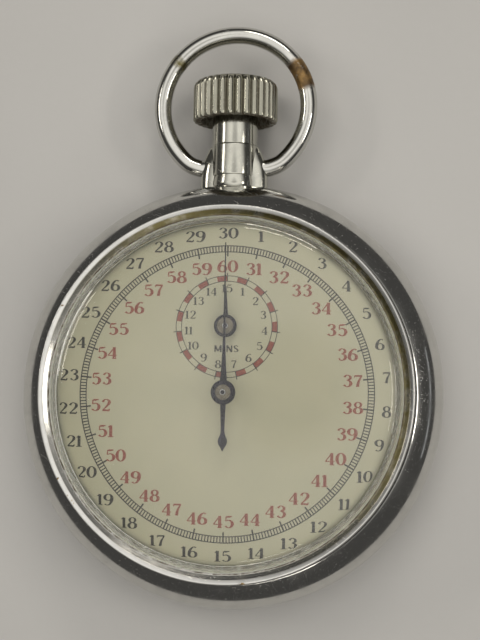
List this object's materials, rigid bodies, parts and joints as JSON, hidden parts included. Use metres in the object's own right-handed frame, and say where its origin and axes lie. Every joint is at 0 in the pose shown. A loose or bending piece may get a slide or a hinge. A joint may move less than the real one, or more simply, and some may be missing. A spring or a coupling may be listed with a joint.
{
  "type": "mechanical stopwatch",
  "caption": "Round open-face pocket stopwatch on its back: domed crystal over a dial with a sweep hand and minute register, ribbed crown on a neck, wire bow, full movement inside.",
  "frame": {"origin": "middle of the flat back, on the surface that the watch lies on", "axes": "+Z out of the dial, +Y towards the crown and the 60 mark, +X towards the 7.5 second mark"},
  "size_m": [0.0532, 0.074, 0.0161],
  "materials": {
    "case_chrome": "polished",
    "bezel_chrome": "polished, worn",
    "bow_chrome": "polished, worn through to brass at one place",
    "crown_nickel": "satin",
    "crystal": "clear acrylic",
    "dial_cream": "matt",
    "hand_steel": "blued",
    "movement_brass": "satin",
    "wheel_brass": "satin",
    "steel": "satin",
    "spring_steel": "blued"
  },
  "bodies": {
    "case": {"case_middle": "case_chrome", "rear_cover": "case_chrome", "bezel": "bezel_chrome", "crystal": "crystal", "dial": "dial_cream", "pendant_neck": "case_chrome", "pendant_sleeve": "case_chrome", "pillar_plate": "movement_brass", "back_plate": "movement_brass", "balance_cock": "movement_brass", "pillar_1": "movement_brass", "pillar_2": "movement_brass", "pillar_3": "movement_brass", "plate_screw_1": "steel", "plate_screw_2": "steel", "plate_screw_3": "steel", "cock_screw": "steel", "case_screw_1": "steel", "case_screw_2": "steel", "crown_wheel_screw": "steel", "click_screw": "steel", "click_spring": "spring_steel", "hairspring": "spring_steel", "hammer_spring": "spring_steel"},
    "bow": {"bow": "bow_chrome"},
    "winding_pinion": {"winding_pinion": "steel"},
    "crown": {"crown": "crown_nickel", "crown_stem": "steel"},
    "crown_wheel": {"crown_wheel": "steel"},
    "ratchet": {"ratchet_wheel": "steel", "ratchet_screw": "steel", "barrel_arbor": "steel"},
    "click": {"click": "steel"},
    "barrel": {"barrel_drum": "movement_brass", "barrel_cover": "movement_brass", "mainspring": "spring_steel"},
    "second_wheel": {"second_arbor": "steel", "second_wheel": "wheel_brass"},
    "third_wheel": {"third_arbor": "steel", "third_wheel": "wheel_brass"},
    "sweep": {"sweep_arbor": "steel", "fourth_wheel": "wheel_brass", "sweep_heart": "steel", "sweep_hand": "hand_steel"},
    "escape_wheel": {"escape_arbor": "steel", "escape_wheel": "wheel_brass"},
    "pallet_lever": {"pallet_lever": "wheel_brass"},
    "balance": {"balance_staff": "steel", "balance_wheel": "wheel_brass"},
    "regulator": {"regulator": "steel"},
    "record_wheel": {"record_arbor": "steel", "record_wheel": "wheel_brass"},
    "minute": {"minute_arbor": "steel", "minute_wheel": "wheel_brass", "minute_heart": "steel", "minute_hand": "hand_steel"},
    "operating_lever": {"operating_lever": "steel"},
    "column_wheel": {"column_wheel": "steel"},
    "brake_lever": {"brake_lever": "steel"},
    "return_hammer": {"return_hammer": "steel"}
  },
  "joints": [
    {"name": "bow_swing", "type": "hinge", "parent": "case", "child": "bow", "pos_m": [0, 0.0289, 0.0057], "axis": [1, 0, 0], "range_deg": [-100, 100]},
    {"name": "winding", "type": "hinge", "parent": "case", "child": "winding_pinion", "pos_m": [0, 0.02, 0.0057], "axis": [0, 1, 0], "continuous": true},
    {"name": "crown_push", "type": "slide", "parent": "winding_pinion", "child": "crown", "axis": [0, -1, 0], "range_m": [0, 0.0015], "stiffness_N_per_m": 600, "springref_m": -0.0005},
    {"name": "crown_wheel_turn", "type": "hinge", "parent": "case", "child": "crown_wheel", "pos_m": [0, 0.015, 0.0058], "axis": [0, 0, 1], "continuous": true},
    {"name": "ratchet_turn", "type": "hinge", "parent": "case", "child": "ratchet", "pos_m": [-0.00954, 0.00895, 0.0058], "axis": [0, 0, 1], "continuous": true},
    {"name": "click_lift", "type": "hinge", "parent": "case", "child": "click", "pos_m": [-0.01301, 0.00151, 0.0058], "axis": [0, 0, 1], "range_deg": [0, 10], "stiffness_Nm_per_rad": 0.0001, "springref_deg": -5.73, "deforming": ["click_spring"]},
    {"name": "sweep_turn", "type": "hinge", "parent": "case", "child": "sweep", "pos_m": [0, 0, 0.0058], "axis": [0, 0, -1], "continuous": true},
    {"name": "third_turn", "type": "hinge", "parent": "case", "child": "third_wheel", "pos_m": [-0.00416, -0.00529, 0.0058], "axis": [0, 0, -1], "continuous": true},
    {"name": "second_turn", "type": "hinge", "parent": "case", "child": "second_wheel", "pos_m": [-0.0074, 0.00097, 0.0058], "axis": [0, 0, -1], "continuous": true},
    {"name": "barrel_turn", "type": "hinge", "parent": "case", "child": "barrel", "pos_m": [-0.00954, 0.00895, 0.0058], "axis": [0, 0, -1], "continuous": true},
    {"name": "escape_turn", "type": "hinge", "parent": "case", "child": "escape_wheel", "pos_m": [0.00545, -0.00381, 0.0058], "axis": [0, 0, -1], "continuous": true},
    {"name": "lever_rock", "type": "hinge", "parent": "case", "child": "pallet_lever", "pos_m": [0.00856, -0.00648, 0.0058], "axis": [0, 0, 1], "range_deg": [-5, 5]},
    {"name": "balance_swing", "type": "hinge", "parent": "case", "child": "balance", "pos_m": [0.01222, -0.00959, 0.0058], "axis": [0, 0, 1], "range_deg": [-150, 150], "stiffness_Nm_per_rad": 0.000005, "deforming": ["hairspring"]},
    {"name": "regulator_index", "type": "hinge", "parent": "case", "child": "regulator", "pos_m": [0.01222, -0.00959, 0.0058], "axis": [0, 0, 1], "range_deg": [-15, 15]},
    {"name": "record_turn", "type": "hinge", "parent": "case", "child": "record_wheel", "pos_m": [0.00329, 0.00356, 0.0058], "axis": [0, 0, -1], "continuous": true},
    {"name": "minute_turn", "type": "hinge", "parent": "case", "child": "minute", "pos_m": [0, 0.00815, 0.0058], "axis": [0, 0, -1], "continuous": true},
    {"name": "operating_lever_turn", "type": "hinge", "parent": "case", "child": "operating_lever", "pos_m": [0.0065, 0.018, 0.0058], "axis": [0, 0, 1], "range_deg": [0, 14]},
    {"name": "column_wheel_step", "type": "hinge", "parent": "case", "child": "column_wheel", "pos_m": [0.009, 0.0125, 0.0058], "axis": [0, 0, 1], "continuous": true},
    {"name": "brake_turn", "type": "hinge", "parent": "case", "child": "brake_lever", "pos_m": [0.017, -0.002, 0.0058], "axis": [0, 0, 1], "range_deg": [0, 3]},
    {"name": "hammer_drop", "type": "hinge", "parent": "case", "child": "return_hammer", "pos_m": [-0.003, -0.0055, 0.0058], "axis": [0, 0, 1], "range_deg": [-3, 0], "deforming": ["hammer_spring"]}
  ],
  "couplings": [
    {"joint": "crown_wheel_turn", "follows": "winding", "ratio": 0.5},
    {"joint": "ratchet_turn", "follows": "winding", "ratio": -0.4},
    {"joint": "third_turn", "follows": "sweep_turn", "ratio": -0.16667},
    {"joint": "second_turn", "follows": "sweep_turn", "ratio": 0.027778},
    {"joint": "barrel_turn", "follows": "sweep_turn", "ratio": -0.0034722},
    {"joint": "escape_turn", "follows": "sweep_turn", "ratio": -10},
    {"joint": "record_turn", "follows": "sweep_turn", "ratio": -0.2},
    {"joint": "minute_turn", "follows": "sweep_turn", "ratio": 0.033333},
    {"joint": "operating_lever_turn", "follows": "crown_push", "rad_per_m": 153.85}
  ]
}
